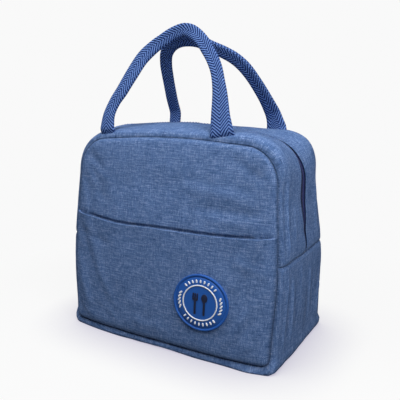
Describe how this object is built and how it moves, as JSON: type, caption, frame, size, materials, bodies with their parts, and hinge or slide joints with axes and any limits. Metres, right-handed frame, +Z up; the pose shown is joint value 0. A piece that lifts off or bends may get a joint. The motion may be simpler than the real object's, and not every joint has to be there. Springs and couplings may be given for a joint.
{
  "type": "insulated lunch bag",
  "caption": "Soft insulated lunch bag with a wrap-over zip, a front pocket with a moulded round patch, and a folding webbing handle on each side.",
  "frame": {"origin": "on the floor under the middle of the bag", "axes": "+Z up, the front pocket faces -Y, +X along the width, the slider rests on the -X side"},
  "size_m": [0.2385, 0.1254, 0.3078],
  "materials": {
    "outer_fabric": "woven, matt",
    "webbing": "herringbone weave, matt",
    "binding_tape": "ribbed tape, matt",
    "foam": "closed-cell foam",
    "foil_lining": "crinkled foil laminate",
    "board": "sheet",
    "zip_tape": "woven tape",
    "zip_coil": "nylon coil",
    "zip_metal": "baked enamel",
    "patch_rubber": "satin",
    "patch_white": "satin",
    "patch_navy": "satin"
  },
  "bodies": {
    "lower_bag": {"back_binding_lower": "binding_tape", "back_foam_lower": "foam", "back_lining_lower": "foil_lining", "back_panel_lower": "outer_fabric", "back_zip_coil_ends": "zip_coil", "back_zip_panel_ends": "outer_fabric", "back_zip_tape_ends": "zip_tape", "base_board": "board", "front_binding_lower": "binding_tape", "front_foam_lower": "foam", "front_lining_lower": "foil_lining", "front_panel_lower": "outer_fabric", "front_pocket": "outer_fabric", "front_zip_coil_ends": "zip_coil", "front_zip_panel_ends": "outer_fabric", "front_zip_tape_ends": "zip_tape", "lower_gusset": "outer_fabric", "lower_gusset_foam": "foam", "lower_gusset_lining": "foil_lining", "patch_base": "patch_rubber", "patch_beads": "patch_white", "patch_cutlery": "patch_navy", "patch_rim": "patch_rubber", "patch_ring": "patch_white", "patch_sprigs": "patch_white", "zip_stops": "zip_metal"},
    "front_flap": {"front_panel_upper": "outer_fabric", "front_foam_upper": "foam", "front_lining_upper": "foil_lining", "front_binding_upper": "binding_tape", "front_zip_panel": "outer_fabric", "front_zip_foam": "foam", "front_zip_lining": "foil_lining", "front_zip_tape": "zip_tape", "front_zip_coil": "zip_coil"},
    "back_flap": {"back_panel_upper": "outer_fabric", "back_foam_upper": "foam", "back_lining_upper": "foil_lining", "back_binding_upper": "binding_tape", "back_zip_panel": "outer_fabric", "back_zip_foam": "foam", "back_zip_lining": "foil_lining", "back_zip_tape": "zip_tape", "back_zip_coil": "zip_coil"},
    "front_grip": {"front_handle": "webbing"},
    "back_grip": {"back_handle": "webbing"},
    "zip_slider": {"slider": "zip_metal"},
    "zip_puller": {"puller": "zip_metal"}
  },
  "joints": [
    {"name": "front_flap_fold", "type": "hinge", "parent": "lower_bag", "child": "front_flap", "pos_m": [0, -0.0521, 0.1202], "axis": [1, 0, 0], "range_deg": [0, 25]},
    {"name": "back_flap_fold", "type": "hinge", "parent": "lower_bag", "child": "back_flap", "pos_m": [0, 0.0521, 0.1202], "axis": [-1, 0, 0], "range_deg": [0, 25]},
    {"name": "front_handle_fold", "type": "hinge", "parent": "front_flap", "child": "front_grip", "pos_m": [0, -0.0482, 0.202], "axis": [1, 0, 0], "range_deg": [0, 175]},
    {"name": "back_handle_fold", "type": "hinge", "parent": "back_flap", "child": "back_grip", "pos_m": [0, 0.0482, 0.202], "axis": [-1, 0, 0], "range_deg": [0, 175]},
    {"name": "zip_slide", "type": "slide", "parent": "lower_bag", "child": "zip_slider", "axis": [0, 0, 1], "range_m": [0, 0.055]},
    {"name": "puller_swing", "type": "hinge", "parent": "zip_slider", "child": "zip_puller", "pos_m": [-0.11905, 0, 0.107], "axis": [0, 1, 0], "range_deg": [0, 175]}
  ]
}
